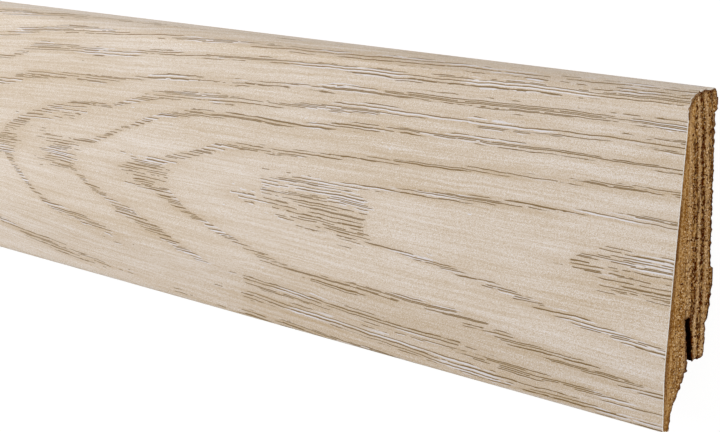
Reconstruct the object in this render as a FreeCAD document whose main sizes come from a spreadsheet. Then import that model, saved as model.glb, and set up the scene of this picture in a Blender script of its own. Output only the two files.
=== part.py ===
import FreeCAD, Part
import math
import os
import Sketcher

# Skirting board length: a profiled fibreboard core wrapped in a printed decor foil.
#
# The board lies on its back with its face up. X runs along its length, Y across it towards the top
# edge, and Z out from the wall side, so Z = 0 is the plane of the wall when the board is fitted.
# Every section is drawn as the board is fitted: its first coordinate is the height above the floor
# edge and its second is the distance out from the wall. The bodies are then centred in Y.
# All lengths are in millimetres and all angles in degrees.

SIZES = {
    # Overall board, foil included
    "board_length": 2400.0,
    "board_height": 80.0,
    "toe_thickness": 16.0,
    # Visible face, upright at the toe and leaning back above it, and the top, falling to the face
    "straight_height": 15.0,
    "face_angle": 5.7,
    "bend_radius": 80.0,
    "top_fall": 3.5,
    "top_radius": 5.5,
    "rear_radius": 1.0,
    "toe_radius": 0.8,
    # Foil, turned over the top edge into a shallow rebate behind it
    "foil_thickness": 0.3,
    "back_return": 2.4,
    "return_setback": 0.1,
    # Back: a top land and a seat touch the wall, with a shallow relief between them
    "land_height": 5.0,
    "relief_depth": 0.9,
    "relief_ramp": 0.6,
    "seat_top": 37.5,
    "seat_height": 3.0,
    # Ramp from the seat down to the clip tongue, whose tip tapers and whose end slants up to it
    "ramp_foot": 25.6,
    "ramp_depth": 1.3,
    "tongue_setback": 2.2,
    "tongue_end": 15.9,
    "tip_height": 2.1,
    "tip_depth": 0.5,
    "tip_lift": 0.6,
    # Slot for the wall clips, leaning into the board as it rises
    "slot_width": 1.6,
    "slot_depth": 10.5,
    "slot_angle": 6.6,
    "slot_mouth": 7.2,
    # Cable channel under the tongue, and the toe in front of it
    "channel_wall": 2.1,
    "channel_ledge": 0.9,
    "toe_width": 2.4,
    "toe_rise": 3.6,
}

LEAN = "(sizes.face_angle * 1deg)"
FALL = "(sizes.top_fall * 1deg)"
TILT = "(sizes.slot_angle * 1deg)"
CLEAR = "(-sizes.relief_depth)"
TOE_BACK = "sizes.toe_thickness - sizes.toe_width"
RETURN_END = "sizes.board_height - sizes.back_return"
TIP_END = "sizes.tongue_end + sizes.tip_lift"


def make_sheet(document):
    """Lists the driving sizes, one named cell each."""
    sheet = document.addObject("Spreadsheet::Sheet", "sizes")
    for row, (name, value) in enumerate(SIZES.items(), start=1):
        sheet.set(f"A{row}", name)
        sheet.set(f"B{row}", str(value))
        sheet.setAlias(f"B{row}", name)
    document.recompute()
    return sheet


def wrapped_corners(inset):
    """Rounded corners of the outline that the foil follows, toe to rear top edge, set in by inset."""
    face = f"(sizes.toe_thickness - {inset} / cos({LEAN}))"
    crown = f"sizes.rear_radius * (tan({FALL}) + 1 / cos({FALL}) - 1)"
    top = (
        f"(sizes.board_height + {crown} + sizes.return_setback * tan({FALL})"
        f" - {inset} / cos({FALL}))"
    )
    top_out = (
        f"(({face} - ({top} - sizes.straight_height) * tan({LEAN}))"
        f" / (1 - tan({FALL}) * tan({LEAN})))"
    )
    rear = f"(sizes.return_setback + {inset})"
    corners = [
        (inset, f"sizes.toe_thickness - {inset}", "toe_radius"),
        (f"sizes.straight_height - {inset} * tan({LEAN} / 2)", f"sizes.toe_thickness - {inset}",
         "bend_radius"),
        (f"{top} - {top_out} * tan({FALL})", top_out, "top_radius"),
        (f"{top} - {rear} * tan({FALL})", rear, "rear_radius"),
    ]
    return [(height, out, f"sizes.{radius} - {inset}") for height, out, radius in corners]


def make_body(document, label):
    """An empty body whose section is centred across the board."""
    body = document.addObject("PartDesign::Body", label)
    body.Label = label
    body.setExpression(".Placement.Base.y", "-sizes.board_height / 2")
    return body


def hold(sketch, constraint, expression):
    """Adds a constraint whose value follows an expression."""
    number = sketch.addConstraint(constraint)
    sketch.setExpression(f"Constraints[{number}]", expression)


def round_corner(before, corner, after, radius):
    """Where an arc of that radius leaves and meets the two sides of a corner, and the arc.

    The arc turns anticlockwise, so at a clockwise corner it starts on the side it meets. The last
    value is True there.
    """
    to_before = (before - corner).normalize()
    to_after = (after - corner).normalize()
    half = to_before.getAngle(to_after) / 2
    centre = corner + (to_before + to_after).normalize() * (radius / math.sin(half))
    leaves = corner + to_before * (radius / math.tan(half))
    meets = corner + to_after * (radius / math.tan(half))
    clockwise = to_before.cross(to_after).z > 0
    turn = (meets, leaves) if clockwise else (leaves, meets)
    first, last = (math.atan2((spot - centre).y, (spot - centre).x) for spot in turn)
    circle = Part.Circle(centre, FreeCAD.Vector(0, 0, 1), radius)
    return leaves, meets, Part.ArcOfCircle(circle, first, last), clockwise


def draw_section(body, name, corners):
    """A closed outline across the board.

    Each corner is its height, its distance out and, if it is rounded, its radius.
    """
    sketch = body.newObject("Sketcher::SketchObject", name)
    plane = next(f for f in body.Origin.OriginFeatures if f.Role == "YZ_Plane")
    sketch.AttachmentSupport = (plane, [""])
    sketch.MapMode = "FlatFace"

    def value(expression):
        """The number an expression comes to."""
        return float(sketch.evalExpression(expression))

    count = len(corners)
    spots = [FreeCAD.Vector(value(corner[0]), value(corner[1]), 0) for corner in corners]
    starts, ends, arcs = list(spots), list(spots), {}
    for i, corner in enumerate(corners):
        if len(corner) == 3:
            ends[i], starts[i], *arcs[i] = round_corner(
                spots[i - 1], spots[i], spots[(i + 1) % count], value(corner[2]))
    for i in range(count):
        sketch.addGeometry(Part.LineSegment(starts[i], ends[(i + 1) % count]), False)

    for i, corner in enumerate(corners):
        line_in, line_out = (i - 1) % count, i
        if i in arcs:
            curve, clockwise = arcs[i]
            arc = sketch.addGeometry(curve, False)
            left, met = (2, 1) if clockwise else (1, 2)
            sketch.addConstraint(Sketcher.Constraint("Tangent", line_in, 2, arc, left))
            sketch.addConstraint(Sketcher.Constraint("Tangent", line_out, 1, arc, met))
            hold(sketch, Sketcher.Constraint("Radius", arc, value(corner[2])), corner[2])
            held = sketch.addGeometry(Part.Point(spots[i]), True)
            sketch.addConstraint(Sketcher.Constraint("PointOnObject", held, 1, line_in))
            sketch.addConstraint(Sketcher.Constraint("PointOnObject", held, 1, line_out))
        else:
            held = line_out
            sketch.addConstraint(Sketcher.Constraint("Coincident", line_in, 2, line_out, 1))
        hold(sketch, Sketcher.Constraint("DistanceX", -1, 1, held, 1, spots[i].x), corner[0])
        hold(sketch, Sketcher.Constraint("DistanceY", -1, 1, held, 1, spots[i].y), corner[1])
    return sketch


def pad_length(body, name, corners):
    """A section run along the whole board, half each way from the middle."""
    pad = body.newObject("PartDesign::Pad", name)
    pad.Profile = draw_section(body, name + "_section", corners)
    pad.Midplane = True
    pad.setExpression("Length", "sizes.board_length")
    body.Document.recompute()
    return pad


def mill_length(body, name, corners):
    """A cut of that section along the whole board."""
    before = body.Shape.Volume
    sketch = draw_section(body, name + "_section", corners)
    cut = body.newObject("PartDesign::Pocket", name)
    cut.Profile = sketch
    cut.Midplane = True
    cut.setExpression("Length", "sizes.board_length * 2")
    body.Document.recompute()
    if not body.Shape.Volume < before:
        raise RuntimeError(f"{name} removed nothing")
    return cut


def make_core(document):
    """Fibreboard core: blank with its back relief, clip ramp, cable channel and clip slot milled."""
    body = make_body(document, "fibreboard_core")
    foil = "sizes.foil_thickness"

    # The foil's turned edge lies in a rebate, so the land below it is what touches the wall
    pad_length(body, "blank", wrapped_corners(foil) + [
        (RETURN_END, f"sizes.return_setback + {foil}"),
        (RETURN_END, "0"),
        (foil, "0"),
    ])

    land_end = "sizes.board_height - sizes.land_height"
    mill_length(body, "back_relief", [
        (land_end, CLEAR),
        (land_end, "0"),
        (f"{land_end} - sizes.relief_ramp", "sizes.relief_depth"),
        ("sizes.seat_top + sizes.relief_ramp", "sizes.relief_depth"),
        ("sizes.seat_top", "0"),
        ("sizes.seat_top", CLEAR),
    ])

    # The step at the ramp's foot is cut at 45 degrees
    seat_foot = "sizes.seat_top - sizes.seat_height"
    step = "(sizes.tongue_setback - sizes.ramp_depth)"
    tip_out = "sizes.tongue_setback + sizes.tip_depth"
    mill_length(body, "clip_ramp", [
        (seat_foot, CLEAR),
        (seat_foot, "0"),
        ("sizes.ramp_foot", "sizes.ramp_depth"),
        (f"sizes.ramp_foot - {step}", "sizes.tongue_setback"),
        ("sizes.tongue_end + sizes.tip_height", "sizes.tongue_setback"),
        (TIP_END, tip_out),
        (CLEAR, tip_out),
        (CLEAR, CLEAR),
    ])

    # The channel's upright wall carries on down from the front wall of the slot
    slot_front = f"sizes.slot_mouth + sizes.slot_width / 2 / cos({TILT})"
    slot_back = f"sizes.slot_mouth - sizes.slot_width / 2 / cos({TILT})"
    ledge_height = "sizes.tongue_end - sizes.channel_wall"
    mill_length(body, "cable_channel", [
        (TIP_END, CLEAR),
        (TIP_END, tip_out),
        ("sizes.tongue_end", slot_back),
        ("sizes.tongue_end", slot_front),
        (ledge_height, slot_front),
        (f"{ledge_height} - sizes.channel_ledge / 2", f"{slot_front} + sizes.channel_ledge"),
        ("sizes.toe_rise", TOE_BACK),
        (CLEAR, TOE_BACK),
        (CLEAR, CLEAR),
    ])

    def slot_corner(along, side):
        """A corner of the slot, so far along it from its mouth and to one side of its middle."""
        height = f"sizes.tongue_end + {along} * cos({TILT}) - {side} * sin({TILT})"
        out = f"sizes.slot_mouth + {along} * sin({TILT}) + {side} * cos({TILT})"
        return height, out

    half = "(sizes.slot_width / 2)"
    mill_length(body, "clip_slot", [
        slot_corner("(-sizes.slot_width)", f"(-{half})"),
        slot_corner("(-sizes.slot_width)", half),
        slot_corner("sizes.slot_depth", half),
        slot_corner("sizes.slot_depth", f"(-{half})"),
    ])
    return body


def make_foil(document):
    """Decor foil: one skin from its turned edge behind the top, over the face, to under the toe."""
    body = make_body(document, "decor_foil")
    foil = "sizes.foil_thickness"
    pad_length(body, "skin", wrapped_corners("0") + [
        (RETURN_END, "sizes.return_setback"),
        (RETURN_END, f"sizes.return_setback + {foil}"),
    ] + wrapped_corners(foil)[::-1] + [
        (foil, TOE_BACK),
        ("0", TOE_BACK),
    ])
    return body


def check_objects(document, bodies):
    """Stops if anything failed to build, or if a piece isn't one sound solid."""
    failed = [o.Label for o in document.Objects if {"Invalid", "Error"} & set(o.State)]
    if failed:
        raise RuntimeError(f"these did not build: {failed}")
    for body in bodies:
        shape = body.Shape
        if shape.isNull() or not shape.isValid() or len(shape.Solids) != 1:
            raise RuntimeError(f"{body.Label} isn't one valid solid")


def main():
    document = FreeCAD.newDocument("skirting_board")
    make_sheet(document)
    bodies = [make_core(document), make_foil(document)]
    document.recompute()
    check_objects(document, bodies)
    os.makedirs("parts", exist_ok=True)
    for body in bodies:
        box = body.Shape.BoundBox
        print(f"{body.Label}: {body.Shape.Volume / 1e3:.1f} cm3, X {box.XMin:.2f} to {box.XMax:.2f},"
              f" Y {box.YMin:.2f} to {box.YMax:.2f}, Z {box.ZMin:.3f} to {box.ZMax:.3f}")
        body.Shape.exportStep(f"parts/{body.Label}.step")


main()
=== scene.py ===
"""Looks of the skirting board length: a printed pale oak foil round a sawn and milled fibreboard core.

The board lies on its back, so X runs along it, Y from its floor edge to its top edge and Z out of its
back. A section point is given as its height above the floor edge and its distance out from the wall.
"""
import logging
import math
from dataclasses import dataclass, field
from enum import Enum

import bmesh
import bpy
from mathutils import Matrix, Vector, kdtree, noise


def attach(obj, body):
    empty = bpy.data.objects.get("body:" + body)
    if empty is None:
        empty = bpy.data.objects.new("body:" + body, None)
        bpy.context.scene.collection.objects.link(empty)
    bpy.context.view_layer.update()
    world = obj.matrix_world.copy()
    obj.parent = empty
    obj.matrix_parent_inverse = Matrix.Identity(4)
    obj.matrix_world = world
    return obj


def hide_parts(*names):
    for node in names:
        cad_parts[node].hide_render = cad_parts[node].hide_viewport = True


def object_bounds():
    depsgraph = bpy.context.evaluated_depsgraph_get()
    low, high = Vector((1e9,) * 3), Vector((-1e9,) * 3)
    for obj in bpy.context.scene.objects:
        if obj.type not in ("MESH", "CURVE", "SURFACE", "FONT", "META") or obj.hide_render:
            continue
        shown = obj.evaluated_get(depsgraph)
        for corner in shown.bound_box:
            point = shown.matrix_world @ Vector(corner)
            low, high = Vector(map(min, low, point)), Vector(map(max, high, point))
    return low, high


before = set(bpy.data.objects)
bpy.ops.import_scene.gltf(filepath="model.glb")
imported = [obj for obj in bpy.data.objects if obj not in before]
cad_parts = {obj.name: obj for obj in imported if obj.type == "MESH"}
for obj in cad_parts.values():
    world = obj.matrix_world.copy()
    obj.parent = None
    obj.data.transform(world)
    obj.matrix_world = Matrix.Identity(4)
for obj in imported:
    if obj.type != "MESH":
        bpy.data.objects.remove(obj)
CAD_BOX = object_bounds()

LOG = logging.getLogger("skirting_board")
MM = 0.001

Colour = tuple[float, float, float]


def srgb(red: int, green: int, blue: int) -> Colour:
    """Turns a display colour into the linear colour that a shader takes.

    Args:
        red: Red, 0 to 255.
        green: Green, 0 to 255.
        blue: Blue, 0 to 255.

    Returns:
        The linear red, green and blue.
    """
    linear = []
    for channel in (red, green, blue):
        share = channel / 255
        linear.append(share / 12.92 if share <= 0.04045 else ((share + 0.055) / 1.055) ** 2.4)
    return tuple(linear)


class End(Enum):
    """The two ends of the board, by the way each one faces."""

    FAR = -1
    NEAR = 1


@dataclass(frozen=True)
class Corner:
    """A corner of the section, with the radius of its round."""

    height: float
    out: float
    radius: float = 0.0


@dataclass(frozen=True)
class BoardSection:
    """Sizes of the section in metres, as the board is fitted to the wall."""

    height: float
    toe_thickness: float
    straight_height: float = 15.0 * MM
    face_angle: float = math.radians(5.7)
    bend_radius: float = 80.0 * MM
    top_fall: float = math.radians(3.5)
    top_radius: float = 5.5 * MM
    rear_radius: float = 1.0 * MM
    toe_radius: float = 0.8 * MM
    foil_thickness: float = 0.3 * MM
    back_return: float = 2.4 * MM
    return_setback: float = 0.1 * MM
    land_height: float = 5.0 * MM
    relief_depth: float = 0.9 * MM
    relief_ramp: float = 0.6 * MM
    seat_top: float = 37.5 * MM
    seat_height: float = 3.0 * MM
    ramp_foot: float = 25.6 * MM
    ramp_depth: float = 1.3 * MM
    tongue_setback: float = 2.2 * MM
    tongue_end: float = 15.9 * MM
    tip_height: float = 2.1 * MM
    tip_depth: float = 0.5 * MM
    tip_lift: float = 0.6 * MM
    slot_width: float = 1.6 * MM
    slot_depth: float = 10.5 * MM
    slot_angle: float = math.radians(6.6)
    slot_mouth: float = 7.2 * MM
    channel_wall: float = 2.1 * MM
    channel_ledge: float = 0.9 * MM
    toe_width: float = 2.4 * MM
    toe_rise: float = 3.6 * MM

    @property
    def toe_back(self) -> float:
        """How far out the back of the toe lies."""
        return self.toe_thickness - self.toe_width

    def wrapped(self, inset: float) -> list[Corner]:
        """Gives the rounded corners that the foil follows.

        Args:
            inset: How far inside the foil's outer face the outline runs.

        Returns:
            The corners from the toe to the rear top edge.
        """
        lean, fall = math.tan(self.face_angle), math.tan(self.top_fall)
        face = self.toe_thickness - inset / math.cos(self.face_angle)
        crown = self.rear_radius * (fall + 1 / math.cos(self.top_fall) - 1)
        top = self.height + crown + self.return_setback * fall - inset / math.cos(self.top_fall)
        top_out = (face - (top - self.straight_height) * lean) / (1 - fall * lean)
        rear = self.return_setback + inset
        bend = self.straight_height - inset * math.tan(self.face_angle / 2)
        return [
            Corner(inset, self.toe_thickness - inset, self.toe_radius - inset),
            Corner(bend, self.toe_thickness - inset, self.bend_radius - inset),
            Corner(top - top_out * fall, top_out, self.top_radius - inset),
            Corner(top - rear * fall, rear, self.rear_radius - inset),
        ]

    def foil_path(self) -> list[Corner]:
        """Gives the foil's outer face from the back of the toe to its turned edge."""
        return [
            Corner(0.0, self.toe_back),
            *self.wrapped(0.0),
            Corner(self.height - self.back_return, self.return_setback),
        ]

    def slot_corner(self, along: float, side: float) -> Corner:
        """Gives a corner of the clip slot.

        Args:
            along: How far up the slot from its mouth.
            side: How far to the face side of its middle.

        Returns:
            The corner.
        """
        sine, cosine = math.sin(self.slot_angle), math.cos(self.slot_angle)
        return Corner(
            self.tongue_end + along * cosine - side * sine,
            self.slot_mouth + along * sine + side * cosine,
        )

    def core_outline(self) -> list[Corner]:
        """Gives the core's outline, from its toe up the face, over the top and down the back."""
        return_end = self.height - self.back_return
        land_end = self.height - self.land_height
        half_slot = self.slot_width / 2
        slot_front = self.slot_mouth + half_slot / math.cos(self.slot_angle)
        slot_back = self.slot_mouth - half_slot / math.cos(self.slot_angle)
        ledge_height = self.tongue_end - self.channel_wall
        tip_out = self.tongue_setback + self.tip_depth
        return [
            *self.wrapped(self.foil_thickness),
            Corner(return_end, self.return_setback + self.foil_thickness),
            Corner(return_end, 0.0),
            Corner(land_end, 0.0),
            Corner(land_end - self.relief_ramp, self.relief_depth),
            Corner(self.seat_top + self.relief_ramp, self.relief_depth),
            Corner(self.seat_top, 0.0),
            Corner(self.seat_top - self.seat_height, 0.0),
            Corner(self.ramp_foot, self.ramp_depth),
            Corner(self.ramp_foot - (self.tongue_setback - self.ramp_depth), self.tongue_setback),
            Corner(self.tongue_end + self.tip_height, self.tongue_setback),
            Corner(self.tongue_end + self.tip_lift, tip_out),
            Corner(self.tongue_end, slot_back),
            self.slot_corner(self.slot_depth, -half_slot),
            self.slot_corner(self.slot_depth, half_slot),
            Corner(self.tongue_end, slot_front),
            Corner(ledge_height, slot_front),
            Corner(ledge_height - self.channel_ledge / 2, slot_front + self.channel_ledge),
            Corner(self.toe_rise, self.toe_back),
            Corner(self.foil_thickness, self.toe_back),
        ]


@dataclass
class SectionPen:
    """Draws a section's outline as edges of a bmesh, in the plane of the board's far end."""

    mesh: bmesh.types.BMesh
    plane_x: float
    floor_edge_y: float
    round_step: float = 0.35 * MM

    def place(self, height: float, out: float) -> Vector:
        """Gives a section point's place in the board's frame."""
        return Vector((self.plane_x, self.floor_edge_y + height, out))

    def draw(self, corners: list[Corner], closed: bool) -> list[bmesh.types.BMEdge]:
        """Draws the outline, with its rounds spun about their centres.

        Args:
            corners: The outline's corners in order.
            closed: Whether the last corner joins the first.

        Returns:
            The edges in order.
        """
        edges, first, last = [], None, None
        for index, corner in enumerate(corners):
            here = self.place(corner.height, corner.out)
            if corner.radius:
                before, after = corners[index - 1], corners[(index + 1) % len(corners)]
                start, arc = self.spin_round(
                    self.place(before.height, before.out), here,
                    self.place(after.height, after.out), corner.radius)
                end = arc[-1].verts[1] if arc[-1].verts[0] in arc[-2].verts else arc[-1].verts[0]
            else:
                start = end = self.mesh.verts.new(here)
                arc = []
            if last:
                edges.append(self.mesh.edges.new((last, start)))
            edges += arc
            first, last = first or start, end
        if closed:
            edges.append(self.mesh.edges.new((last, first)))
        return edges

    def spin_round(self, before: Vector, corner: Vector, after: Vector, radius: float):
        """Spins one round's arc.

        Args:
            before: The corner before it.
            corner: The corner that is rounded.
            after: The corner after it.
            radius: The round's radius.

        Returns:
            The arc's first vertex and its edges in order.
        """
        to_before, to_after = (before - corner).normalized(), (after - corner).normalized()
        half = to_before.angle(to_after) / 2
        centre = corner + (to_before + to_after).normalized() * (radius / math.sin(half))
        start = self.mesh.verts.new(corner + to_before * (radius / math.tan(half)))
        turn = math.pi - 2 * half
        steps = max(4, round(turn * radius / self.round_step))
        known = set(self.mesh.edges)
        bmesh.ops.spin(
            self.mesh, geom=[start], cent=centre, axis=to_after.cross(to_before), angle=turn,
            steps=steps, use_duplicate=False)
        arc = [edge for edge in self.mesh.edges if edge not in known]
        return start, arc

    def divide(self, edges: list[bmesh.types.BMEdge], pitch: float) -> None:
        """Divides straight runs so that no edge is much longer than the pitch."""
        for edge in edges:
            cuts = round(edge.calc_length() / pitch) - 1
            if cuts > 0:
                bmesh.ops.subdivide_edges(self.mesh, edges=[edge], cuts=cuts)


def finish_mesh(mesh: bmesh.types.BMesh, name: str, finishes: list[bpy.types.Material]) -> bpy.types.Object:
    """Makes an object of a bmesh and links it to the scene.

    Args:
        mesh: The finished bmesh, which is freed.
        name: The piece's name.
        finishes: Its materials, in slot order.

    Returns:
        The object, at the origin.
    """
    data = bpy.data.meshes.new(name)
    mesh.to_mesh(data)
    mesh.free()
    for finish in finishes:
        data.materials.append(finish)
    piece = bpy.data.objects.new(name, data)
    bpy.context.scene.collection.objects.link(piece)
    return piece


@dataclass(frozen=True)
class GrowthRing:
    """One ring of the oak print: a pointed arch that opens towards the near end.

    Places are in millimetres: along the board from its near end, and up the face from the floor edge.
    """

    tip: tuple[float, float]
    upper: tuple[tuple[float, float], ...]
    lower: tuple[tuple[float, float], ...]

    def branch(self, along: float, points: tuple[tuple[float, float], ...]) -> float:
        """Gives the height of one of the arch's sides.

        Args:
            along: The place along the board.
            points: The side's points from the tip on.

        Returns:
            The height there.
        """
        last = self.tip
        for point in points:
            if along <= point[0]:
                share = (along - last[0]) / (point[0] - last[0])
                if last is self.tip:
                    share = math.sqrt(max(share, 0.0))
                return last[1] + (point[1] - last[1]) * share
            last = point
        return last[1]


@dataclass(frozen=True)
class PoreCluster:
    """A patch of the print, in the rings' millimetres, where the pores crowd, or thin out below 0."""

    start: float
    end: float
    height: float
    half_height: float
    slope: float = 0.0
    density: float = 0.8

    def strength(self, along: float, height: float) -> float:
        """Gives how dense the patch is at a place: it sets in slowly and stops short."""
        middle = self.height + self.slope * (along - (self.start + self.end) / 2)
        rising = (along - self.start) / (0.5 * (self.end - self.start))
        falling = (self.end - along) / 5.0
        beside = 2.0 - 1.8 * abs(height - middle) / self.half_height
        return self.density * max(0.0, min(1.0, rising, falling, beside))


@dataclass(frozen=True)
class OakPrint:
    """The printed grain: nested arches round one centre, turned back on themselves along the board."""

    repeat: float = 600.0
    rings: tuple[GrowthRing, ...] = (
        GrowthRing((-446, 36), ((-406, 66), (-335, 77), (-254, 81), (-167, 83), (0, 86)),
                   ((-404, 4), (-333, -9), (-166, -21), (0, -25))),
        GrowthRing((-403, 36), ((-365, 62), (-335, 69), (-300, 71), (-274, 75), (-221, 77),
                                (-167, 78), (-30, 80), (0, 81)),
                   ((-364, 8), (-334, -3), (-166, -13), (0, -17))),
        GrowthRing((-375, 36), ((-350, 54), (-334, 60), (-297, 64), (-278, 69), (-229, 70),
                                (-213, 72), (-167, 74), (-91, 75), (0, 78)),
                   ((-349, 12), (-334, 4), (-297, -1), (-166, -7), (0, -11))),
        GrowthRing((-339, 37), ((-329, 46), (-314, 52), (-298, 56), (-284, 59), (-268, 60),
                                (-243, 61), (-217, 64), (-205, 65), (-167, 67), (-104, 70), (0, 72)),
                   ((-329, 28), (-314, 18), (-297, 10), (-283, 8), (-263, 6), (-242, 4),
                    (-196, 2), (-121, 0), (0, -4))),
        GrowthRing((-298, 37), ((-286, 44), (-273, 49), (-257, 52), (-233, 54), (-213, 59),
                                  (-194, 61), (-152, 62), (-111, 65), (-53, 66), (0, 67)),
                   ((-283, 25), (-267, 19), (-243, 16), (-228, 13), (-212, 10), (-192, 8),
                    (-166, 7), (-107, 5), (-75, 3), (0, 1))),
        GrowthRing((-267, 36), ((-253, 40), (-243, 42), (-227, 48), (-209, 53), (-192, 56),
                                (-152, 57), (-132, 58), (-105, 60), (-71, 61), (0, 62)),
                   ((-257, 33), (-245, 29), (-228, 23), (-208, 19), (-192, 15), (-178, 12),
                    (-162, 11), (-105, 9), (-80, 8), (-50, 6), (0, 4))),
        GrowthRing((-222, 37), ((-208, 39), (-194, 43), (-180, 47), (-162, 49), (-131, 50),
                                  (-99, 52), (-70, 54), (0, 56)),
                   ((-204, 30), (-192, 26), (-176, 23), (-162, 20), (-139, 17), (-121, 15),
                    (-91, 17), (-64, 15), (-40, 12), (-18, 10), (0, 8))),
        GrowthRing((-158, 38), ((-142, 42), (-111, 44), (-91, 45), (-50, 47), (0, 49)),
                   ((-139, 33), (-129, 32), (-107, 29), (-78, 28), (-64, 26), (-46, 23),
                    (-30, 22), (0, 19))),
        GrowthRing((-34, 36), ((-14, 39), (0, 40)), ((-14, 33), (0, 31))),
    )
    clusters: tuple[PoreCluster, ...] = (
        PoreCluster(-162, -107, 36.2, 8.6, -0.05, 0.92),
        PoreCluster(-40, 13, 35.6, 6.5, density=0.86),
        PoreCluster(-168, -134, 37.6, 5.5, density=0.66),
        PoreCluster(-296, -243, 47.5, 4.2, 0.2, 0.6),
        PoreCluster(-284, -250, 36.5, 6.5, -0.1, 0.8),
        PoreCluster(-232, -200, 36.0, 6.5, -0.1, 0.75),
        PoreCluster(-304, -289, 36.1, 6.0, density=0.6),
        PoreCluster(-262, -160, 6.5, 8.0, -0.03, -0.75),
        PoreCluster(-900, 60, 86.5, 6.0, density=-0.7),
    )
    axis_height: float = 36.0
    fan: float = 0.4
    fan_reach: float = 330.0
    outer_spacing: float = 9.0
    tip_spacing: float = 20.0
    stroke_slimness: float = 6.0

    def grain_line(self, along: float, height: float) -> float:
        """Numbers the print's long lines by their height at the near end, for they fan out towards it."""
        share = min(1.2, -self.fold(along) / self.fan_reach)
        return self.axis_height + (height - self.axis_height) * (1 + self.fan * share * share)

    def fold(self, along: float) -> float:
        """Folds a place on the whole board into the stretch that the rings are given for."""
        turn = math.fmod(-along, 2 * self.repeat)
        return -(turn if turn <= self.repeat else 2 * self.repeat - turn)

    def ring_place(self, along: float, height: float) -> tuple[float, float]:
        """Counts the rings inwards at a place on the face.

        Args:
            along: Millimetres along the board from its near end, below zero.
            height: Millimetres up the face.

        Returns:
            The count, whole on a ring's own line, and how far apart the rings lie there.
        """
        along = self.fold(along)
        passed = [ring for ring in self.rings if ring.tip[0] < along]
        if not passed:
            start = self.rings[0].tip
            far = math.hypot((along - start[0]) / 60, (height - start[1]) / (4 * self.outer_spacing))
            return -far, self.outer_spacing
        inner = passed[-1]
        number = len(passed) - 1
        high, low = inner.branch(along, inner.upper), inner.branch(along, inner.lower)
        if low < height < high:
            following = self.rings[number + 1].tip if number + 1 < len(self.rings) else (60.0, 36.0)
            gap = following[0] - inner.tip[0]
            share = min((along - inner.tip[0]) / gap, 1.0)
            off = abs(2 * height - high - low) / (high - low)
            power = 2 - share
            ahead = self.stroke_slimness * (1 - off ** power) / gap
            beside = 2 * share * power * off ** (power - 1) / (high - low)
            return number + share * (1 - off ** power), 1 / max(ahead + beside, 1 / self.tip_spacing)
        for outer in range(number - 1, -1, -1):
            ring = self.rings[outer]
            wide_high, wide_low = ring.branch(along, ring.upper), ring.branch(along, ring.lower)
            if height >= high and height < wide_high:
                return outer + (wide_high - height) / (wide_high - high), wide_high - high
            if height <= low and height > wide_low:
                return outer + (height - wide_low) / (low - wide_low), low - wide_low
            high, low = wide_high, wide_low
        beyond = height - high if height >= high else low - height
        return -beyond / self.outer_spacing, self.outer_spacing

    def cluster_strength(self, along: float, height: float) -> float:
        """Gives how far the pores are crowded at a place, or thinned out below 0."""
        along = self.fold(along)
        return max((patch.strength(along, height) for patch in self.clusters), key=abs)


class NodeBench:
    """Adds and joins the nodes of one material or node group."""

    def __init__(self, tree: bpy.types.NodeTree) -> None:
        """Starts on a node tree."""
        self.tree = tree

    def add(self, kind: str, inputs: dict | None = None, **settings) -> bpy.types.Node:
        """Adds a node.

        Args:
            kind: The node's type, without the ShaderNode in front.
            inputs: Values or sockets for its inputs, by name or number.
            settings: Its other settings.

        Returns:
            The node.
        """
        node = self.tree.nodes.new("ShaderNode" + kind)
        for name, value in settings.items():
            setattr(node, name, value)
        for name, value in (inputs or {}).items():
            self.feed(node.inputs[name], value)
        return node

    def feed(self, socket: bpy.types.NodeSocket, value) -> None:
        """Joins an output to an input, or sets the input's own value."""
        if isinstance(value, bpy.types.NodeSocket):
            self.tree.links.new(value, socket)
        elif socket.type == "RGBA" and len(value) == 3:
            socket.default_value = (*value, 1.0)
        else:
            socket.default_value = value

    def maths(self, operation: str, first, second=0.0, third=0.0, clamp: bool = False):
        """Gives the output of a Math node."""
        node = self.add("Math", {0: first, 1: second, 2: third}, operation=operation, use_clamp=clamp)
        return node.outputs[0]

    def stretch(self, vector, scale: Vector | tuple, offset: tuple = (0.0, 0.0, 0.0)):
        """Gives a vector times a scale for each axis, plus an offset."""
        node = self.add("Mapping", {"Vector": vector, "Scale": scale, "Location": offset})
        return node.outputs[0]

    def noise(self, vector, scale: float = 1.0, detail: float = 2.0, rough: float = 0.5,
              plane: bool = False):
        """Gives the value of a Noise Texture node."""
        node = self.add(
            "TexNoise", {"Vector": vector, "Scale": scale, "Detail": detail, "Roughness": rough},
            noise_dimensions="2D" if plane else "3D")
        return node.outputs["Fac"]

    def step(self, value, low: float, high: float, smooth: bool = True):
        """Gives 0 below the low value, 1 above the high one and a ramp between them."""
        node = self.add(
            "MapRange", {0: value, 1: low, 2: high, 3: 0.0, 4: 1.0},
            interpolation_type="SMOOTHSTEP" if smooth else "LINEAR")
        return node.outputs[0]

    def blend(self, share, first, second):
        """Gives the colour a share of the way from the first to the second."""
        node = self.add("Mix", data_type="RGBA")
        for socket, value in ((node.inputs[0], share), (node.inputs[6], first), (node.inputs[7], second)):
            self.feed(socket, value)
        return node.outputs[2]


@dataclass(frozen=True)
class Finish:
    """What every finish has: a name and a plain Principled shader."""

    name: str

    def start(self) -> tuple[bpy.types.Material, NodeBench, bpy.types.Node]:
        """Makes the material.

        Returns:
            The material, a bench for its nodes and its Principled shader.
        """
        material = bpy.data.materials.new(self.name)
        material.use_nodes = True
        material.node_tree.nodes.clear()
        bench = NodeBench(material.node_tree)
        shader = bench.add("BsdfPrincipled")
        bench.add("OutputMaterial", {"Surface": shader.outputs[0]})
        return material, bench, shader


@dataclass(frozen=True)
class PoreLines:
    """One set of fine printed pores: short lines along the board, side by side at an even pitch."""

    pitch: float
    length: float
    thickness: float
    seed: float


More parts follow.
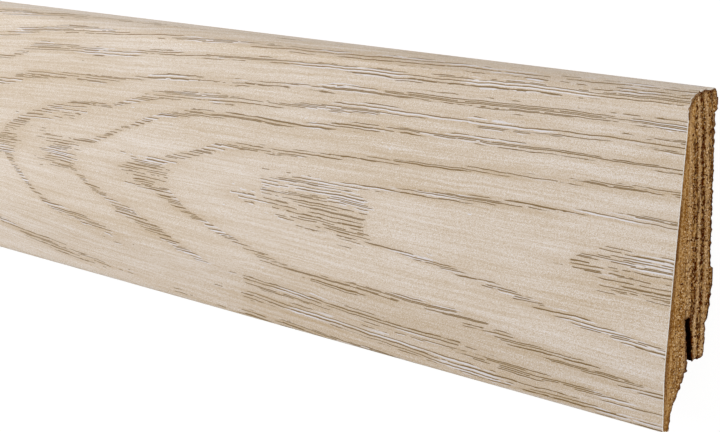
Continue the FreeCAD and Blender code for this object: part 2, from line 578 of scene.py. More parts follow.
@dataclass(frozen=True)
class PrintedOak(Finish):
    """Pale oak print on satin foil, with the pores embossed and highlights painted below them."""

    name: str = "printed_oak_foil"
    ground: Colour = srgb(220, 206, 191)
    warm_ground: Colour = srgb(209, 191, 169)
    light_grain: Colour = srgb(244, 240, 242)
    dark_grain: Colour = srgb(184, 155, 112)
    pore: Colour = srgb(121, 90, 22)
    # Colour of the highlights painted below the pores, in place of the light that the embossed grooves catch.
    painted_glint: Colour = srgb(234, 234, 244)
    roughness: float = 0.46
    emboss: float = 0.05 * MM
    band_breadth: tuple[float, float] = (1.15, 1.2)
    pore_sets: tuple[PoreLines, ...] = (
        PoreLines(0.92 * MM, 17.0 * MM, 0.17, 3.1),
        PoreLines(1.23 * MM, 8.0 * MM, 0.13, 11.7),
    )

    def draw_pores(self, bench: NodeBench, lines: PoreLines, along, across, band):
        """Draws one set of pores and the pale highlights painted below them, in place of the light that the
        embossed grooves catch.

        Args:
            bench: The material's bench.
            lines: The set.
            along: The place along the board.
            across: The place across the foil.
            band: How far the place belongs to a ring's pore band.

        Returns:
            The pores' mask and the mask of the painted highlights.
        """
        cells = bench.maths("MULTIPLY_ADD", across, 1 / lines.pitch, lines.seed)
        cell = bench.maths("FLOOR", cells)
        scatter = bench.add("TexWhiteNoise", {"W": cell}, noise_dimensions="1D").outputs["Value"]
        middle = bench.maths("MULTIPLY_ADD", scatter, 0.36, 0.37)
        off = bench.maths("SUBTRACT", bench.maths("SUBTRACT", cells, cell), middle)
        spot = bench.add("CombineXYZ", {
            0: bench.maths("DIVIDE", along, lines.length), 1: bench.maths("MULTIPLY", cell, 7.31)})
        run = bench.noise(spot.outputs[0], detail=2.0, rough=0.55, plane=True)
        strength = bench.maths("MULTIPLY_ADD", band, 0.40, run)
        drawn = bench.step(strength, 0.785, 0.825)
        # How far along the painted highlights reach: a little beyond the pores.
        lit = bench.step(strength, 0.755, 0.795)
        beside = bench.maths("ABSOLUTE", off)
        # The painted highlight sits just below each pore line.
        below = bench.maths("ABSOLUTE", bench.maths("ADD", off, 0.34))
        pore = bench.step(bench.maths("DIVIDE", beside, lines.thickness), 1.0, 0.35)
        painted_glint = bench.step(bench.maths("DIVIDE", below, lines.thickness), 1.5, 0.3)
        return bench.maths("MULTIPLY", pore, drawn), bench.maths("MULTIPLY", painted_glint, lit)

    def ring_band(self, bench: NodeBench, flat):
        """Finds the bands of pores along the growth rings.

        Args:
            bench: The material's bench.
            flat: The place on the flat foil.

        Returns:
            The outputs of the pores' band and of the haze round it, from 0 to 1.
        """
        ring, spacing, cluster = (
            bench.add("Attribute", attribute_name=name).outputs["Fac"]
            for name in ("ring", "spacing", "cluster"))
        wander = bench.noise(bench.stretch(flat, (30.0, 150.0, 1.0)), detail=2.0, plane=True)
        number = bench.maths("MULTIPLY_ADD", bench.maths("SUBTRACT", wander, 0.5), 0.22, ring)
        broad = bench.noise(bench.stretch(flat, (16.0, 45.0, 1.0), (5.0, 2.0, 0.0)), detail=1.0, plane=True)
        breadth = bench.maths("MULTIPLY_ADD", bench.step(broad, 0.38, 0.62), *self.band_breadth)
        turned = bench.maths("SUBTRACT", bench.maths("FRACT", bench.maths("ADD", number, 10.5)), 0.5)
        apart = bench.maths("MULTIPLY", bench.maths("ABSOLUTE", turned), spacing)
        away = bench.maths("DIVIDE", apart, breadth)
        filled = bench.maths("ADD", cluster, 1.0, clamp=True)
        band = bench.maths("MULTIPLY", bench.step(away, 1.0, 0.3), filled)
        haze = bench.maths("MULTIPLY", bench.step(away, 1.7, 0.3), filled)
        return bench.maths("MAXIMUM", band, cluster), bench.maths("MAXIMUM", haze, cluster)

    def make(self) -> bpy.types.Material:
        """Makes the material.

        Returns:
            The material.
        """
        material, bench, shader = self.start()
        place = bench.add("SeparateXYZ", {0: bench.add("UVMap", uv_map="foil").outputs[0]})
        along, across = place.outputs[0], place.outputs[1]
        flat = bench.add("CombineXYZ", {0: along, 1: across}).outputs[0]
        band, haze = self.ring_band(bench, flat)

        sway = bench.noise(bench.stretch(flat, (11.0, 60.0, 1.0)), detail=2.0, plane=True)
        grain = bench.add("Attribute", attribute_name="grain").outputs["Fac"]
        quiver = bench.noise(bench.stretch(flat, (110.0, 260.0, 1.0)), detail=2.0, rough=0.6, plane=True)
        bent = bench.maths("MULTIPLY_ADD", quiver, 0.65 * MM, bench.maths("MULTIPLY_ADD", sway, 3.0 * MM, grain))
        pores, painted_glints = self.draw_pores(bench, self.pore_sets[0], along, bent, band)
        for lines in self.pore_sets[1:]:
            more_pores, more_painted_glints = self.draw_pores(bench, lines, along, bent, band)
            pores = bench.maths("MAXIMUM", pores, more_pores)
            painted_glints = bench.maths("MAXIMUM", painted_glints, more_painted_glints)
        # The painted highlights show only in patches and never over a pore.
        patch = bench.step(bench.noise(bench.stretch(flat, (20.0, 160.0, 1.0), (4.0, 3.0, 0.0)), plane=True), 0.48, 0.60)
        painted_glints = bench.maths("MULTIPLY", bench.maths("SUBTRACT", painted_glints, pores, clamp=True), patch)

        slant = bench.maths("MULTIPLY_ADD", bent, 1.7, along)
        strand = bench.add("CombineXYZ", {0: along, 1: bent, 2: slant}).outputs[0]
        streaks = bench.noise(bench.stretch(strand, (16.0, 1300.0, 9.0)), detail=3.0, rough=0.8)
        fine = bench.noise(bench.stretch(strand, (2300.0, 4300.0, 1900.0)), detail=1.0, rough=0.7)
        cloud = bench.noise(bench.stretch(flat, (7.0, 60.0, 1.0), (3.0, 1.0, 0.0)), detail=2.0, plane=True)
        ground = bench.blend(bench.step(cloud, 0.30, 0.75), self.ground, self.warm_ground)
        grain = bench.maths("MULTIPLY_ADD", bench.maths("SUBTRACT", fine, 0.5), 1.6, streaks)
        darker = bench.maths("MULTIPLY", bench.step(grain, 0.50, 0.20), 0.66)
        lighter = bench.maths("MULTIPLY", bench.step(grain, 0.50, 0.80), 0.64)
        ground = bench.blend(lighter, bench.blend(darker, ground, self.dark_grain), self.light_grain)
        tinted = bench.blend(bench.maths("MULTIPLY", haze, 0.30), ground, self.dark_grain)
        # Paints the highlights into the colour.
        lit = bench.blend(bench.maths("MULTIPLY", painted_glints, 0.76), tinted, self.painted_glint)
        colour = bench.blend(bench.maths("MULTIPLY", pores, 0.95), lit, self.pore)

        relief = bench.maths("MULTIPLY_ADD", streaks, 0.25, bench.maths("SUBTRACT", 1.0, pores))
        bump = bench.add("Bump", {"Strength": 0.5, "Distance": self.emboss, "Height": relief})
        bench.feed(shader.inputs["Base Color"], colour)
        bench.feed(shader.inputs["Normal"], bump.outputs[0])
        bench.feed(shader.inputs["Roughness"], bench.maths("MULTIPLY_ADD", pores, 0.2, self.roughness))
        return material


@dataclass(frozen=True)
class FoilEdge(Finish):
    """The foil's cut edge and its plain back."""

    name: str = "foil_cut_edge"
    colour: Colour = srgb(236, 232, 226)
    roughness: float = 0.6

    def make(self) -> bpy.types.Material:
        """Makes the material."""
        material, bench, shader = self.start()
        place = bench.add("TexCoord").outputs["Object"]
        mottle = bench.noise(place, scale=1800.0, detail=2.0)
        colour = bench.blend(bench.step(mottle, 0.45, 0.9), self.colour, srgb(196, 178, 156))
        bench.feed(shader.inputs["Base Color"], colour)
        bench.feed(shader.inputs["Roughness"], self.roughness)
        return material


def fibre_group() -> bpy.types.NodeTree:
    """Makes the node group of loose fibres that every bare fibreboard surface shares.

    Returns:
        The group, which takes a vector and gives the mottle and the flecks.
    """
    group = bpy.data.node_groups.new("fibreboard_fibres", "ShaderNodeTree")
    group.interface.new_socket("Vector", in_out="INPUT", socket_type="NodeSocketVector")
    for name in ("Mottle", "Fleck"):
        group.interface.new_socket(name, in_out="OUTPUT", socket_type="NodeSocketFloat")
    bench = NodeBench(group)
    place = group.nodes.new("NodeGroupInput").outputs["Vector"]
    ends = group.nodes.new("NodeGroupOutput")
    mottle = bench.noise(place, scale=1500.0, detail=3.0, rough=0.65)
    fleck = bench.step(bench.noise(place, scale=2300.0, detail=1.0), 0.56, 0.70)
    bench.feed(ends.inputs["Mottle"], mottle)
    bench.feed(ends.inputs["Fleck"], fleck)
    return group


@dataclass(frozen=True)
class SawnFibreboard(Finish):
    """Sawn end of the core: dense and smooth near the face, coarse and streaked inside."""

    name: str = "sawn_fibreboard"
    fibres: bpy.types.NodeTree | None = None
    tan: Colour = srgb(190, 149, 94)
    brown: Colour = srgb(137, 92, 37)
    # Dark brown of the streaks and specks, also painted as shade along the outline.
    streak_and_edge_shade: Colour = srgb(70, 25, 0)
    # Near-black painted shade inside the pits.
    pit: Colour = srgb(12, 1, 0)
    pale: Colour = srgb(250, 221, 180)
    roughness: float = 0.9
    specular: float = 0.0

    def make(self) -> bpy.types.Material:
        """Makes the material."""
        material, bench, shader = self.start()
        place = bench.add("TexCoord").outputs["Object"]
        group = bench.add("Group", node_tree=self.fibres)
        bench.feed(group.inputs[0], place)
        mottle, fleck = group.outputs["Mottle"], group.outputs["Fleck"]
        coarse, light, rim, dug = (
            bench.add("Attribute", attribute_name=name).outputs["Fac"]
            for name in ("coarse", "light", "rim", "pit"))
        layers = bench.noise(bench.stretch(place, (1.0, 110.0, 1300.0)), detail=2.0, rough=0.6)
        specks = bench.noise(bench.stretch(place, (1.0, 1500.0, 1900.0)), detail=2.0, rough=0.7)
        blotch = bench.maths("MULTIPLY_ADD", layers, 0.4, bench.maths("MULTIPLY", mottle, 0.6))
        ground = bench.blend(bench.step(blotch, 0.43, 0.57), self.brown, self.tan)
        grit = bench.maths("MULTIPLY_ADD", bench.step(coarse, 0.0, 0.2), 0.6, 0.4)
        lit = bench.blend(bench.maths("MULTIPLY", light, 0.35), ground, self.pale)
        lit = bench.blend(bench.maths("MULTIPLY", fleck, bench.maths("MULTIPLY", grit, 0.8)), lit, self.pale)
        vein = bench.step(bench.maths("MULTIPLY_ADD", coarse, 0.30, layers), 0.58, 0.82)
        streaked = bench.blend(bench.maths("MULTIPLY", vein, 0.75), lit, self.streak_and_edge_shade)
        # Darkens the end near its outline: painted shade away from the foil, a darker band under it.
        edge_darkened = bench.blend(bench.maths("MULTIPLY", rim, 0.8), streaked, self.streak_and_edge_shade)
        speck = bench.step(bench.maths("MULTIPLY_ADD", coarse, 0.15, specks), 0.58, 0.67)
        speckled = bench.blend(bench.maths("MULTIPLY", speck, grit), edge_darkened, self.streak_and_edge_shade)
        # Paints the shade inside the pits near-black.
        colour = bench.blend(dug, speckled, self.pit)
        height = bench.maths("MULTIPLY_ADD", specks, -0.8, mottle)
        bump = bench.add("Bump", {"Strength": 0.7, "Distance": 0.25 * MM, "Height": height})
        bench.feed(shader.inputs["Base Color"], colour)
        bench.feed(shader.inputs["Roughness"], self.roughness)
        bench.feed(shader.inputs["Specular IOR Level"], self.specular)
        bench.feed(shader.inputs["Normal"], bump.outputs[0])
        return material


@dataclass(frozen=True)
class SlotShadeFibreboard(Finish):
    """Walls of the clip slot, painted near-black for the shade deep inside the narrow slot."""

    name: str = "slot_painted_shade"
    fibres: bpy.types.NodeTree | None = None
    # Both colours are painted shade for the deep, narrow slot.
    brown: Colour = srgb(34, 15, 3)
    dark: Colour = srgb(6, 2, 0)
    roughness: float = 0.9
    specular: float = 0.0

    def make(self) -> bpy.types.Material:
        """Makes the material."""
        material, bench, shader = self.start()
        place = bench.add("TexCoord").outputs["Object"]
        group = bench.add("Group", node_tree=self.fibres)
        bench.feed(group.inputs[0], place)
        colour = bench.blend(bench.step(group.outputs["Mottle"], 0.4, 0.6), self.dark, self.brown)
        bench.feed(shader.inputs["Base Color"], colour)
        bench.feed(shader.inputs["Roughness"], self.roughness)
        bench.feed(shader.inputs["Specular IOR Level"], self.specular)
        return material


@dataclass(frozen=True)
class MilledFibreboard(Finish):
    """Milled back, channel and slot of the core, with cutter lines along the board."""

    name: str = "milled_fibreboard"
    fibres: bpy.types.NodeTree | None = None
    tan: Colour = srgb(176, 140, 98)
    brown: Colour = srgb(150, 112, 70)
    roughness: float = 0.8
    specular: float = 0.15

    def make(self) -> bpy.types.Material:
        """Makes the material."""
        material, bench, shader = self.start()
        place = bench.add("TexCoord").outputs["Object"]
        group = bench.add("Group", node_tree=self.fibres)
        bench.feed(group.inputs[0], place)
        lines = bench.noise(bench.stretch(place, (6.0, 1600.0, 1600.0)), detail=2.0)
        mix = bench.maths("MULTIPLY_ADD", group.outputs["Mottle"], 0.6, bench.maths("MULTIPLY", lines, 0.4))
        ground = bench.blend(bench.step(mix, 0.35, 0.65), self.brown, self.tan)
        colour = bench.blend(bench.maths("MULTIPLY", group.outputs["Fleck"], 0.25), ground, srgb(205, 178, 140))
        bump = bench.add("Bump", {"Strength": 0.35, "Distance": 0.1 * MM, "Height": mix})
        bench.feed(shader.inputs["Base Color"], colour)
        bench.feed(shader.inputs["Roughness"], self.roughness)
        bench.feed(shader.inputs["Specular IOR Level"], self.specular)
        bench.feed(shader.inputs["Normal"], bump.outputs[0])
        return material


@dataclass
class DecorFoil:
    """The foil: its printed face, its cut edges and its turned edges."""

    section: BoardSection
    length: float
    width: float
    row_pitch: float = 1.2 * MM
    near_span: float = 340.0 * MM
    near_pitch: float = 4.0 * MM
    far_pitch: float = 8.0 * MM
    ragged: float = 0.1 * MM
    chip_start: float = 73.0 * MM
    chip_depth: float = 0.55 * MM
    print_design: OakPrint = field(default_factory=OakPrint)

    def build(self) -> bpy.types.Object:
        """Builds the foil and replaces the plain one.

        Returns:
            The foil's object.
        """
        mesh = bmesh.new()
        across = mesh.verts.layers.float.new("across")
        self.draw_outer_face(mesh, across)
        self.print_attributes(mesh, across)
        self.thicken(mesh)
        self.unwrap(mesh, across)
        self.fray_ends(mesh)
        piece = finish_mesh(mesh, "decor_foil_print", [PrintedOak().make(), FoilEdge().make()])
        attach(piece, "root")
        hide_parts("decor_foil")
        return piece

    def draw_outer_face(self, mesh: bmesh.types.BMesh, across) -> None:
        """Draws the foil's outer face along the whole board, and measures across it."""
        pen = SectionPen(mesh, -self.length / 2, -self.width / 2)
        path = pen.draw(self.section.foil_path(), closed=False)
        pen.divide(path, self.row_pitch)
        start = next(v for v in mesh.verts if len(v.link_edges) == 1
                     and v.co.z > self.section.toe_thickness / 2)
        reached, last, here = 0.0, None, start
        while here:
            here[across] = reached
            ahead = [e.other_vert(here) for e in here.link_edges if e.other_vert(here) is not last]
            following = ahead[0] if ahead else None
            if following:
                reached += (following.co - here.co).length
            last, here = here, following
        rim = list(mesh.edges)
        for span, pitch in ((self.length - self.near_span, self.far_pitch), (self.near_span, self.near_pitch)):
            made = bmesh.ops.extrude_edge_only(mesh, edges=rim)["geom"]
            moved = [item for item in made if isinstance(item, bmesh.types.BMVert)]
            rim = [item for item in made if isinstance(item, bmesh.types.BMEdge)
                   and all(v in set(moved) for v in item.verts)]
            bmesh.ops.translate(mesh, verts=moved, vec=(span, 0.0, 0.0))
            long_edges = [e for v in moved for e in v.link_edges if e.calc_length() > span / 2]
            bmesh.ops.subdivide_edges(mesh, edges=long_edges, cuts=round(span / pitch) - 1)
        bmesh.ops.recalc_face_normals(mesh, faces=mesh.faces)
        middle = max(mesh.faces, key=lambda face: face.calc_center_median().z)
        if middle.normal.z < 0:
            bmesh.ops.reverse_faces(mesh, faces=mesh.faces)

    def face_height(self, across: float) -> float:
        """Turns a place across the foil into the height up the face that the print is drawn to, in mm."""
        toe = self.section.toe_width - self.section.toe_radius
        arc = self.section.toe_radius * math.pi / 2
        return (across - toe - arc + self.section.toe_radius) / MM

    def print_attributes(self, mesh: bmesh.types.BMesh, across) -> None:
        """Stores the print's rings, pore clusters and long lines on the foil's points."""
        ring, spacing, cluster, grain = (
            mesh.verts.layers.float.new(name) for name in ("ring", "spacing", "cluster", "grain"))
        for vert in mesh.verts:
            along = (vert.co.x - self.length / 2) / MM
            height = self.face_height(vert[across])
            vert[ring], vert[spacing] = self.print_design.ring_place(along, height)
            vert[cluster] = self.print_design.cluster_strength(along, height)
            vert[grain] = self.print_design.grain_line(along, height) * MM

    def thicken(self, mesh: bmesh.types.BMesh) -> None:
        """Gives the outer face the foil's thickness, inwards."""
        printed = set(mesh.faces)
        bmesh.ops.solidify(mesh, geom=list(mesh.faces), thickness=self.section.foil_thickness)
        for face in mesh.faces:
            face.material_index = 0 if face in printed else 1
            face.smooth = True
        for edge in mesh.edges:
            edge.smooth = edge.calc_face_angle(0.0) < math.radians(40)

    def unwrap(self, mesh: bmesh.types.BMesh, across) -> None:
        """Lays the foil out flat: metres along the board and across the foil."""
        chart = mesh.loops.layers.uv.new("foil")
        for face in mesh.faces:
            for loop in face.loops:
                loop[chart].uv = (loop.vert.co.x, loop.vert[across])

    def fray_ends(self, mesh: bmesh.types.BMesh) -> None:
        """Divides the sawn edges finely and leaves them slightly ragged, and chipped back over the top."""
        for end in End:
            edges = [e for e in mesh.edges
                     if all(abs(v.co.x - end.value * self.length / 2) < 1e-6 for v in e.verts)]
            long_edges = [e for e in edges if e.calc_length() > self.section.foil_thickness * 1.2]
            bmesh.ops.subdivide_edges(mesh, edges=long_edges, cuts=3)
        for vert in mesh.verts:
            if self.length / 2 - abs(vert.co.x) < 1e-6:
                height = vert.co.y + self.width / 2
                chipped = max(0.0, min(1.0, (height - self.chip_start) / (3.0 * MM)))
                depth = abs(noise.noise(vert.co * 2600.0)) * self.ragged
                depth += chipped * self.chip_depth * (0.8 + noise.noise(vert.co * 900.0))
                vert.co.x -= math.copysign(max(0.0, depth), vert.co.x)


class CoreFinish(Enum):
    """The core's material slots."""

    MILLED = 0
    SAWN = 1
    SLOT_SHADE = 2


@dataclass(frozen=True)
class Seam:
    """A layer inside the board, at one distance out from the wall."""

    out: float
    half_thickness: float
    strength: float

    def at(self, out: float) -> float:
        """Gives the seam's share at a distance out at mid-height."""
        return self.strength * math.exp(-(((out - self.out) / self.half_thickness) ** 2))


@dataclass
class FibreboardCore:
    """The core: a profiled length with two sawn ends."""

    section: BoardSection
    length: float
    width: float
    pitch: float = 0.27 * MM
    rings: tuple[float, ...] = (0.3 * MM, 1.0 * MM)
    relief: float = 0.14 * MM
    pit_depth: float = 0.5 * MM
    fray: float = 0.6 * MM
    skin: float = 1.6 * MM
    chip_start: float = 73.0 * MM
    swell: float = 0.26 * MM
    swell_centre: Corner = Corner(68.0 * MM, 6.0 * MM)
    rim_width: float = 0.8 * MM
    slot_chip: float = 0.16 * MM
    # Width and top of the darker band under the foil at the sawn end.
    dark_band_width: float = 1.2 * MM
    dark_band_top: float = 58.0 * MM
    layer_wander: float = 0.6 * MM
    layer_bow: float = 1.2
    layer_middle: float = 43.0 * MM
    coarse_seams: tuple[Seam, ...] = (
        Seam(7.0 * MM, 0.40 * MM, 0.60),
        Seam(6.1 * MM, 0.35 * MM, 0.75),
        Seam(4.0 * MM, 0.50 * MM, 1.00),
        Seam(1.1 * MM, 0.45 * MM, 0.60),
    )
    light_seams: tuple[Seam, ...] = (
        Seam(8.3 * MM, 0.40 * MM, 0.50),
        Seam(5.1 * MM, 0.35 * MM, 0.80),
        Seam(2.5 * MM, 0.45 * MM, 0.60),
    )

    def build(self) -> bpy.types.Object:
        """Builds the core and replaces the plain one.

        Returns:
            The core's object.
        """
        mesh = bmesh.new()
        pen = SectionPen(mesh, -self.length / 2, -self.width / 2)
        outline = pen.draw(self.section.core_outline(), closed=True)
        bmesh.ops.contextual_create(mesh, geom=outline)
        self.slice_end(mesh)
        self.run_out(mesh)
        self.mark_faces(mesh)
        self.roughen_ends(mesh)
        fibres = fibre_group()
        finishes = [
            MilledFibreboard(fibres=fibres).make(),
            SawnFibreboard(fibres=fibres).make(),
            SlotShadeFibreboard(fibres=fibres).make(),
        ]
        piece = finish_mesh(mesh, "sawn_fibreboard_core", finishes)
        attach(piece, "root")
        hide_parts("fibreboard_core")
        return piece

    def slice_end(self, mesh: bmesh.types.BMesh) -> None:
        """Cuts the section's face into a fine grid, so that the sawn end can be roughened."""
        for axis, reach in ((2, self.section.toe_thickness), (1, self.width)):
            normal = Vector((0.0, 0.0, 0.0))
            normal[axis] = 1.0
            low = 0.0 if axis == 2 else -self.width / 2
            ahead = list(mesh.faces)
            for number in range(1, math.ceil(reach / self.pitch)):
                level = low + number * self.pitch
                crossing = [f for f in ahead if min(v.co[axis] for v in f.verts) < level - 1e-7]
                parts = {e for f in crossing for e in f.edges} | {v for f in crossing for v in f.verts}
                found = bmesh.ops.bisect_plane(
                    mesh, geom=[*crossing, *parts], dist=1e-7,
                    plane_co=normal * level, plane_no=normal)["geom"]
                touched = {f for f in found if isinstance(f, bmesh.types.BMFace)} | set(ahead)
                ahead = [f for f in touched if f.is_valid and max(v.co[axis] for v in f.verts) > level + 1e-7]

    def run_out(self, mesh: bmesh.types.BMesh) -> None:
        """Runs the section along the board, with a few rings close to each end."""
        near = [self.length - ring for ring in reversed(self.rings)] + [self.length]
        cap, reached = list(mesh.faces), 0.0
        for stop in [*self.rings, *near]:
            made = bmesh.ops.extrude_face_region(mesh, geom=cap)["geom"]
            cap = [item for item in made if isinstance(item, bmesh.types.BMFace)]
            moved = [item for item in made if isinstance(item, bmesh.types.BMVert)]
            bmesh.ops.translate(mesh, verts=moved, vec=(stop - reached, 0.0, 0.0))
            reached = stop
        bmesh.ops.recalc_face_normals(mesh, faces=mesh.faces)

    def finish_of(self, face: bmesh.types.BMFace) -> CoreFinish:
        """Tells which of the core's finishes a face gets; the slot's walls get painted shade."""
        if abs(face.normal.x) > 0.9:
            return CoreFinish.SAWN
        middle = face.calc_center_median()
        height = middle.y + self.width / 2
        above_mouth = height > self.section.tongue_end + 0.1 * MM
        inside = self.section.slot_mouth - self.section.slot_width < middle.z < self.section.slot_mouth + 2.4 * MM
        below_top = height < self.section.tongue_end + self.section.slot_depth + 1.0 * MM
        return CoreFinish.SLOT_SHADE if above_mouth and inside and below_top else CoreFinish.MILLED

    def mark_faces(self, mesh: bmesh.types.BMesh) -> None:
        """Gives the sawn ends and the slot their own finish and keeps the section's corners crisp."""
        for face in mesh.faces:
            face.material_index = self.finish_of(face).value
            face.smooth = face.material_index == CoreFinish.SAWN.value
        for edge in mesh.edges:
            if len(edge.link_faces) == 2 and edge.calc_face_angle() > math.radians(20):
                edge.smooth = False

    def layer(self, side: float, height: float, out: float) -> float:
        """Follows the board's layers, which bow and wander, back to mid-height.

        Args:
            side: 1 at the near end, -1 at the far end.
            height: The point's height.
            out: Its distance out from the wall.

        Returns:
            How far out the point's layer lies at mid-height.
        """
        wander = noise.noise(Vector((side, height / (7.0 * MM), out / (3.0 * MM))))
        return out + self.layer_wander * wander - self.layer_bow * (height - self.layer_middle) ** 2

    def coarseness(self, height: float, out: float, layer: float) -> float:
        """Gives how coarse the board is at a section point, 0 in its dense skin and 1 in a seam."""
        lean = max(0.0, height - self.section.straight_height) * math.tan(self.section.face_angle)
        depth = self.section.toe_thickness - lean - out
        inside = max(0.0, min(1.0, (depth - self.skin) / self.skin))
        return min(1.0, inside * (0.2 + sum(seam.at(layer) for seam in self.coarse_seams)))

    def edge_tree(self, outline: list[bmesh.types.BMVert]) -> kdtree.KDTree:
        """Makes a search tree of the outline's points."""
        tree = kdtree.KDTree(len(outline))
        for number, vert in enumerate(outline):
            tree.insert(vert.co, number)
        tree.balance()
        return tree

    def roughen_ends(self, mesh: bmesh.types.BMesh) -> None:
        """Leaves the sawn ends rough: torn fibres, pits and a ragged outline."""
        coarse, light, rim, pit = (
            mesh.verts.layers.float.new(name) for name in ("coarse", "light", "rim", "pit"))
        ends = [v for v in mesh.verts if self.length / 2 - abs(v.co.x) < 1e-6]
        outline = {v for v in ends if any(f.material_index != CoreFinish.SAWN.value for f in v.link_faces)}
        tree = self.edge_tree(list(outline))
        for vert in ends:
            side = math.copysign(1.0, vert.co.x)
            height, out = vert.co.y + self.width / 2, vert.co.z
            spot = Vector((side * 7.0, vert.co.y * 1100, vert.co.z * 2000))
            layer = self.layer(side, height, out)
            vert[coarse] = self.coarseness(height, out, layer)
            vert[light] = sum(seam.at(layer) for seam in self.light_seams)
            # Painted shade along the outline away from the foil, and a darker band under the foil.
            vert[rim] = self.outline_darkening(height, out, tree.find(vert.co)[2])
            hole = max(0.0, noise.noise(spot * 0.8 + Vector((3.0, 5.0, 8.0))) - 0.03) * 6.0
            # The same share digs each pit and paints the shade inside it.
            vert[pit] = 0.0 if vert in outline else min(1.0, hole * vert[coarse] ** 2)
            torn = self.relief * abs(noise.noise(spot)) * (0.2 + 0.8 * vert[coarse])
            vert.co.x -= side * (torn + self.pit_depth * vert[pit])
            sway = self.raggedness(height, out) if vert in outline else 0.6 * self.pitch
            grain = 1000 if vert in outline else 9100
            tear = Vector((side * 3.0, vert.co.y * grain, vert.co.z * grain))
            shift = self.swelling(height, out) + self.chipping(height, out) if vert in outline else Vector()
            vert.co.y = max(-self.width / 2, vert.co.y + sway * noise.noise(tear) + shift.y)
            vert.co.z = max(0.0, out + sway * noise.noise(tear + Vector((9.0, 9.0, 9.0))) + shift.z)

    def under_foil(self, height: float, out: float) -> bool:
        """Tells whether a point of the outline lies under the foil's face, where the saw cuts clean."""
        lean = max(0.0, height - self.section.straight_height) * math.tan(self.section.face_angle)
        return self.section.toe_thickness - lean - out < self.skin and height < self.chip_start

    def outline_darkening(self, height: float, out: float, depth: float) -> float:
        """Gives how dark the sawn end is near its outline: painted shade along the outline where it leaves the
        foil, and a darker band under the foil.

        Args:
            height: The point's height.
            out: Its distance out from the wall.
            depth: How far inside the outline it lies.

        Returns:
            The share, from 0 to 1.
        """
        # Away from the foil: painted shade that fades inwards from the outline.
        if not self.under_foil(height, out):
            return max(0.0, 1.0 - depth / self.rim_width)
        patchy = 0.8 + 0.6 * noise.noise(Vector((height / (4.0 * MM), out / (2.0 * MM), 4.0)))
        low = max(0.0, min(1.0, (self.dark_band_top - height) / (6.0 * MM)))
        broad = max(0.0, min(1.0, (self.dark_band_width - depth) / (0.5 * MM)))
        thin = math.exp(-((depth / self.rim_width - 0.6) / 0.4) ** 2)
        return max(0.0, min(1.0, patchy * (0.72 * low * broad + 0.42 * (1.0 - low) * thin)))

    def swelling(self, height: float, out: float) -> Vector:
        """Gives how far the fibres of the outline stand out over the chipped foil at the top."""
        away = Vector((0.0, height - self.swell_centre.height, out - self.swell_centre.out)).normalized()
        chipped = max(0.0, min(1.0, (height - self.chip_start) / (2.0 * MM)))
        lumpy = 0.6 + 0.8 * noise.noise(Vector((height / (0.8 * MM), out / (0.8 * MM), 2.0)))
        return away * (self.swell * chipped * max(0.0, min(1.0, lumpy)))

    def chipping(self, height: float, out: float) -> Vector:
        """Gives how far the slot's edge is chipped back at the board's ends."""
        along = height - self.section.tongue_end
        beside = out - self.section.slot_mouth - along * math.tan(self.section.slot_angle)
        if not (0.2 * MM < along < self.section.slot_depth + 0.3 * MM and abs(beside) < self.section.slot_width):
            return Vector()
        lumpy = max(0.0, 0.9 + 0.9 * noise.noise(Vector((height / (0.9 * MM), beside / (1.0 * MM), 6.0))))
        return Vector((0.0, 0.0, math.copysign(self.slot_chip * lumpy, beside)))

    def raggedness(self, height: float, out: float) -> float:
        """Gives how far the outline's points stray at a section point."""
        return 0.1 * self.fray if self.under_foil(height, out) else self.fray


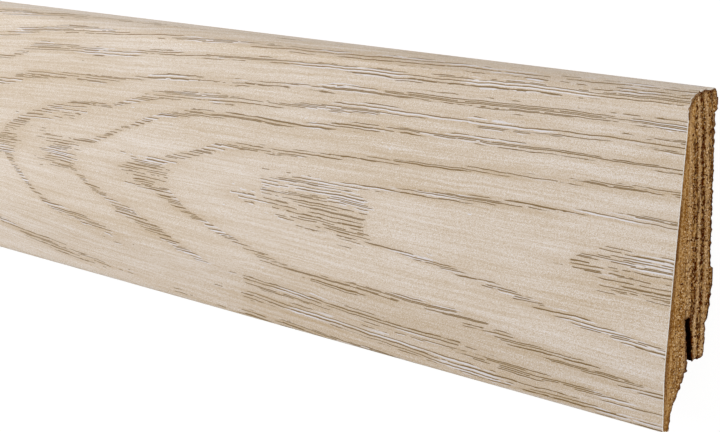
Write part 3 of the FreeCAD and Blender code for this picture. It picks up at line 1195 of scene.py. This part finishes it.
@dataclass(frozen=True)
class Studio:
    """Pale floor, soft lights and the camera."""

    near_end: Vector
    camera_offset: Vector = Vector((0.34403, 0.1005, 0.39511))
    camera_right: Vector = Vector((0.64017, 0.00365, -0.76822))
    camera_back: Vector = Vector((0.75619, 0.17334, 0.63097))
    lens: float = 112.238
    lamp_colour: Colour = (1.0, 0.965, 0.91)
    floor_half: float = 30.0

    def build(self) -> None:
        """Builds the studio."""
        self.place_camera()
        self.lay_floor()
        self.set_world()
        self.hang_lamp("key_lamp", Vector((-0.05, 0.42, 0.95)), 1.1, 14.0)
        self.hang_lamp("end_lamp", Vector((3.8, -0.2, 1.2)), 1.6, 32.0)

    def place_camera(self) -> None:
        """Sets the camera at the photograph's view of the board."""
        data = bpy.data.cameras.new("camera")
        data.lens = self.lens
        data.sensor_width = 36.0
        data.clip_end = 200.0
        camera = bpy.data.objects.new("camera", data)
        back = self.camera_back.normalized()
        right = (self.camera_right - back * self.camera_right.dot(back)).normalized()
        axes = Matrix((right, back.cross(right), back)).transposed()
        camera.matrix_world = Matrix.Translation(self.near_end + self.camera_offset) @ axes.to_4x4()
        bpy.context.scene.collection.objects.link(camera)
        bpy.context.scene.camera = camera

    def lay_floor(self) -> None:
        """Lays the pale floor."""
        mesh = bmesh.new()
        bmesh.ops.create_grid(mesh, x_segments=1, y_segments=1, size=self.floor_half)
        floor = finish_mesh(mesh, "studio_floor", [FloorPaint().make()])

    def set_world(self) -> None:
        """Sets the even light from all round."""
        world = bpy.data.worlds.new("studio_world")
        world.use_nodes = True
        background = world.node_tree.nodes["Background"]
        background.inputs["Color"].default_value = (1.0, 1.0, 1.0, 1.0)
        background.inputs["Strength"].default_value = 0.42
        bpy.context.scene.world = world

    def hang_lamp(self, name: str, place: Vector, size: float, power: float) -> None:
        """Hangs one soft square lamp that faces the board's near end.

        Args:
            name: The lamp's name.
            place: Where it hangs.
            size: Its side.
            power: Its power in watts.
        """
        data = bpy.data.lights.new(name, "AREA")
        data.shape = "SQUARE"
        data.size = size
        data.energy = power
        data.color = self.lamp_colour
        lamp = bpy.data.objects.new(name, data)
        lamp.matrix_world = Matrix.Translation(place) @ (
            (place - self.near_end).to_track_quat("Z", "Y").to_matrix().to_4x4())
        bpy.context.scene.collection.objects.link(lamp)


@dataclass(frozen=True)
class FloorPaint(Finish):
    """White floor that the camera sees bright, with the board's shadow kept."""

    name: str = "studio_floor_paint"
    colour: Colour = (0.9, 0.9, 0.9)
    seen_glow: float = 0.86

    def make(self) -> bpy.types.Material:
        """Makes the material."""
        material, bench, shader = self.start()
        bench.feed(shader.inputs["Base Color"], self.colour)
        bench.feed(shader.inputs["Roughness"], 0.9)
        glow = bench.add("Emission", {"Color": (1.0, 1.0, 1.0), "Strength": 1.09})
        rays = bench.add("LightPath").outputs
        seen = bench.maths("MULTIPLY", rays["Is Camera Ray"], self.seen_glow)
        mixed = bench.add("MixShader", {0: seen, 1: shader.outputs[0], 2: glow.outputs[0]})
        output = next(node for node in material.node_tree.nodes if node.type == "OUTPUT_MATERIAL")
        bench.feed(output.inputs["Surface"], mixed.outputs[0])
        return material


def main() -> None:
    """Builds the board's pieces and the studio."""
    logging.basicConfig(level=logging.INFO, format="%(name)s: %(message)s")
    low, high = CAD_BOX
    length, width, thickness = high - low
    section = BoardSection(height=width, toe_thickness=thickness)
    for maker in (DecorFoil(section, length, width), FibreboardCore(section, length, width)):
        piece = maker.build()
        LOG.info("%s: %d faces", piece.name, len(piece.data.polygons))
    Studio(near_end=Vector((high.x, 0.0, 0.0))).build()
    bpy.context.scene.view_settings.view_transform = "Standard"


if __name__ == "__main__":
    main()
